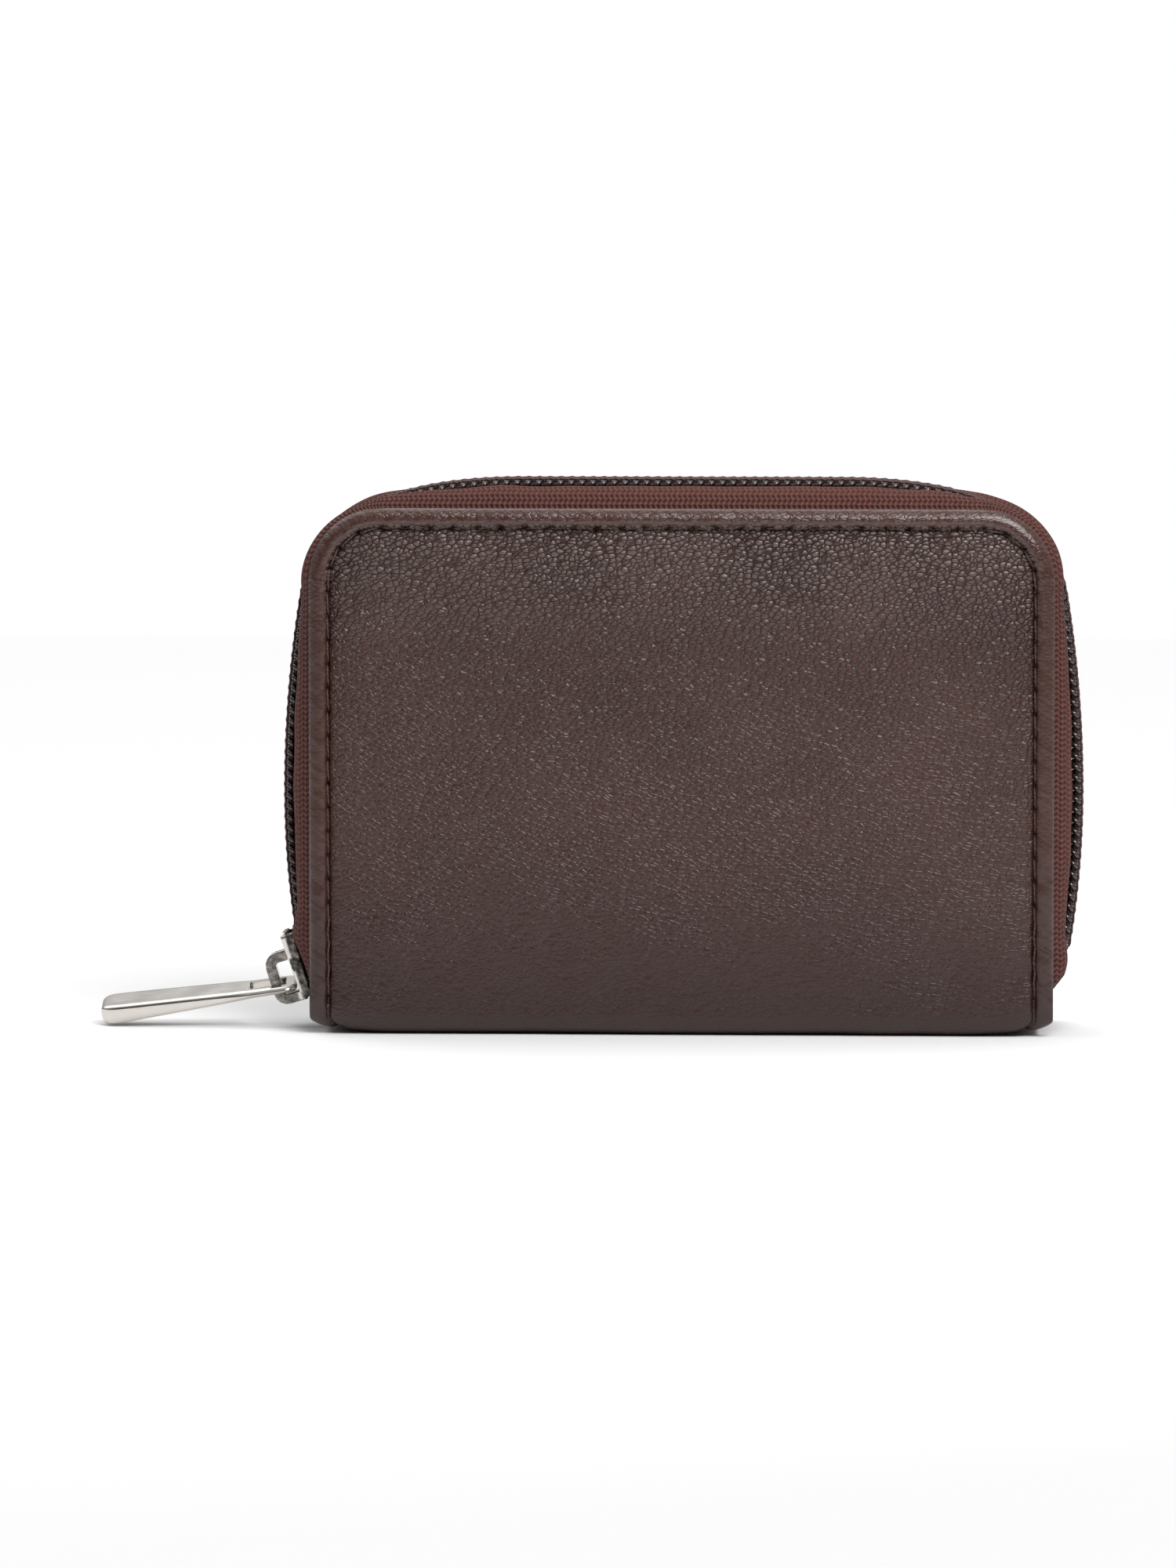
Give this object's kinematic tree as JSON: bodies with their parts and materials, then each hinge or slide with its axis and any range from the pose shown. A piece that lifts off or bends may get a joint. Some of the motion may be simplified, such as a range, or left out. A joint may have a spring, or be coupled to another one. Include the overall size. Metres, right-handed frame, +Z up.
{
  "type": "zippered pouch",
  "caption": "Small stiff leather card pouch standing on its spine, with two hinged covers, card pockets inside and a coil zipper around three sides.",
  "frame": {"origin": "centre of the spine's resting face, on the surface that the pouch stands on", "axes": "+X along the spine away from the parked slider, -Y out of the front cover, +Z up from the spine to the top edge"},
  "size_m": [0.1371, 0.024, 0.0768],
  "materials": {
    "leather": "dark brown pebbled, semi-matt",
    "pocket_leather": "smooth, semi-matt",
    "lining": "fine twill, matt",
    "board": "raw",
    "foam": "raw",
    "thread": "waxed thread",
    "zipper_tape": "woven herringbone",
    "zipper_coil": "glossy",
    "nickel": "bright nickel plate"
  },
  "bodies": {
    "spine": {"spine_leather": "leather", "spine_stiffener": "board", "spine_lining": "lining"},
    "front_half": {"front_cover_leather": "leather", "front_edge_stitching": "thread", "front_padding": "foam", "front_board": "board", "front_lining": "lining", "front_slip_pocket": "pocket_leather", "front_card_pocket_1": "pocket_leather", "front_card_pocket_2": "pocket_leather", "front_card_pocket_3": "pocket_leather", "zipper_tape_front": "zipper_tape", "zipper_coil_front": "zipper_coil"},
    "back_half": {"back_cover_leather": "leather", "back_edge_stitching": "thread", "back_padding": "foam", "back_board": "board", "back_lining": "lining", "back_slip_pocket": "pocket_leather", "back_card_pocket_1": "pocket_leather", "back_card_pocket_2": "pocket_leather", "back_card_pocket_3": "pocket_leather", "zipper_tape_back": "zipper_tape", "zipper_coil_back": "zipper_coil"},
    "slider": {"slider_body": "nickel"},
    "pull": {"pull_tab": "nickel"}
  },
  "joints": [
    {"name": "front_open", "type": "hinge", "parent": "spine", "child": "front_half", "pos_m": [0, -0.0114, 0.0006], "axis": [1, 0, 0], "range_deg": [0, 90]},
    {"name": "back_open", "type": "hinge", "parent": "spine", "child": "back_half", "pos_m": [0, 0.0114, 0.0006], "axis": [-1, 0, 0], "range_deg": [0, 90]},
    {"name": "slider_travel", "type": "hinge", "parent": "back_half", "child": "slider", "pos_m": [0.0903, 0, 0.03452], "axis": [0, 1, 0], "range_deg": [0, 17.5]},
    {"name": "pull_swing", "type": "hinge", "parent": "slider", "child": "pull", "pos_m": [-0.05505, 0, 0.00577], "axis": [0, 1, 0], "range_deg": [0, 75]}
  ]
}
